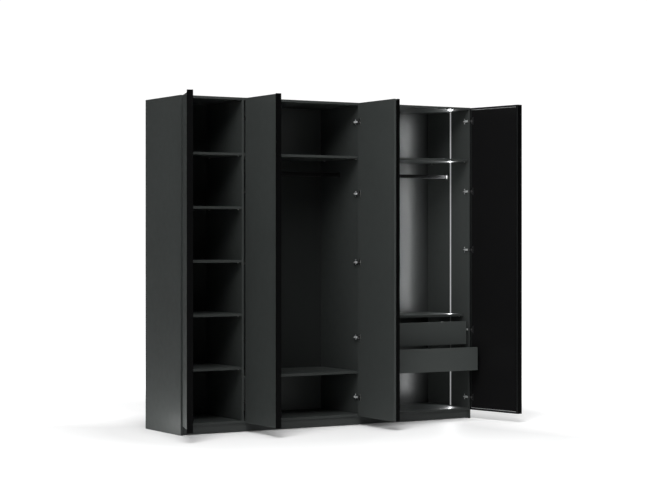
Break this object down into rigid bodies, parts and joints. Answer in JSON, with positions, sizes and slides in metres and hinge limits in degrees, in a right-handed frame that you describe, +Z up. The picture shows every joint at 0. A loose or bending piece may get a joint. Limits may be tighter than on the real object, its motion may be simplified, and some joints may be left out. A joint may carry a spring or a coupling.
{
  "type": "wardrobe",
  "caption": "Tall graphite wardrobe with hinged doors, open shelves, hanging rails, two inner drawers, a dark mirror and a built-in light strip; it stores clothes",
  "frame": {"origin": "on the floor under the middle of the whole object as it stands with its doors open", "axes": "+Z up, +X to the right along the front, +Y from the doors towards the back panels"},
  "size_m": [2.807, 1.081, 2.4],
  "materials": {
    "graphite_carcass": "satin graphite foil on board",
    "graphite_back": "matt graphite foil on thin board",
    "graphite_plinth": "satin graphite foil on board",
    "graphite_shelf": "satin graphite foil on board",
    "graphite_door": "satin graphite foil on board",
    "black_profile": "black anodised, satin",
    "dark_mirror": "black tinted glass, polished",
    "hinge_metal": "nickel plated",
    "rail_black": "black, satin",
    "light_aluminium": "anodised, satin",
    "light_diffuser": "translucent white, lit",
    "drawer_front": "satin graphite foil on board",
    "drawer_box": "matt graphite foil on board",
    "runner_steel": "zinc plated"
  },
  "bodies": {
    "carcass": {"side_panel_left": "graphite_carcass", "side_panel_right": "graphite_carcass", "divider_left": "graphite_carcass", "divider_right": "graphite_carcass", "top_panel": "graphite_carcass", "bottom_panel": "graphite_carcass", "back_panel_left": "graphite_back", "back_panel_middle": "graphite_back", "back_panel_right": "graphite_back", "plinth_front": "graphite_plinth", "plinth_frame": "graphite_plinth", "shelf_left_1": "graphite_shelf", "shelf_left_2": "graphite_shelf", "shelf_left_3": "graphite_shelf", "shelf_left_4": "graphite_shelf", "shelf_left_5": "graphite_shelf", "shelf_middle_upper": "graphite_shelf", "shelf_middle_lower": "graphite_shelf", "shelf_right_upper": "graphite_shelf", "shelf_right_lower": "graphite_shelf", "hanging_rail_middle": "rail_black", "hanging_rail_right": "rail_black", "light_channel": "light_aluminium", "light_cover": "light_diffuser", "door_1_hinge_arms": "hinge_metal", "door_2_hinge_arms": "hinge_metal", "door_3_hinge_arms": "hinge_metal", "door_4_hinge_arms": "hinge_metal", "door_5_hinge_arms": "hinge_metal", "drawer_spacer": "graphite_shelf", "runner_upper_left": "runner_steel", "runner_upper_right": "runner_steel", "runner_lower_left": "runner_steel", "runner_lower_right": "runner_steel"},
    "door_1": {"door_1_leaf": "graphite_door", "door_1_hinge_cups": "hinge_metal", "door_1_grip_profile": "black_profile"},
    "door_2": {"door_2_leaf": "graphite_door", "door_2_hinge_cups": "hinge_metal", "door_2_grip_profile": "black_profile"},
    "door_3": {"door_3_leaf": "graphite_door", "door_3_hinge_cups": "hinge_metal"},
    "door_4": {"door_4_leaf": "graphite_door", "door_4_hinge_cups": "hinge_metal", "door_4_grip_profile": "black_profile"},
    "door_5": {"door_5_leaf": "graphite_door", "door_5_hinge_cups": "hinge_metal", "door_5_grip_profile": "black_profile", "door_5_mirror": "dark_mirror"},
    "drawer_upper": {"drawer_upper_front": "drawer_front", "drawer_upper_side_left": "drawer_box", "drawer_upper_side_right": "drawer_box", "drawer_upper_back": "drawer_box", "drawer_upper_base": "drawer_box"},
    "drawer_lower": {"drawer_lower_front": "drawer_front", "drawer_lower_side_left": "drawer_box", "drawer_lower_side_right": "drawer_box", "drawer_lower_back": "drawer_box", "drawer_lower_base": "drawer_box"}
  },
  "joints": [
    {"name": "door_1_hinge", "type": "hinge", "parent": "carcass", "child": "door_1", "pos_m": [-1.2086, -0.0505, 1.2325], "axis": [0, 0, -1], "range_deg": [-110, 0]},
    {"name": "door_2_hinge", "type": "hinge", "parent": "carcass", "child": "door_2", "pos_m": [-0.70735, -0.05425, 1.2325], "axis": [0, 0, -1], "range_deg": [-90, 20]},
    {"name": "door_3_hinge", "type": "hinge", "parent": "carcass", "child": "door_3", "pos_m": [0.26315, -0.05425, 1.2325], "axis": [0, 0, 1], "range_deg": [-90, 0]},
    {"name": "door_4_hinge", "type": "hinge", "parent": "carcass", "child": "door_4", "pos_m": [0.2819, -0.047, 1.2325], "axis": [0, 0, -1], "range_deg": [-90, 0]},
    {"name": "door_5_hinge", "type": "hinge", "parent": "carcass", "child": "door_5", "pos_m": [1.2754, -0.0423, 1.2325], "axis": [0, 0, 1], "range_deg": [-100.5, 0]},
    {"name": "drawer_upper_slide", "type": "slide", "parent": "carcass", "child": "drawer_upper", "axis": [0, -1, 0], "range_m": [-0.19, 0.15]},
    {"name": "drawer_lower_slide", "type": "slide", "parent": "carcass", "child": "drawer_lower", "axis": [0, -1, 0], "range_m": [-0.34, 0]}
  ],
  "couplings": [
    {"joint": "door_4_hinge", "follows": "door_5_hinge", "ratio": 0.89552},
    {"joint": "drawer_lower_slide", "follows": "door_5_hinge", "m_per_rad": 0.19383}
  ]
}
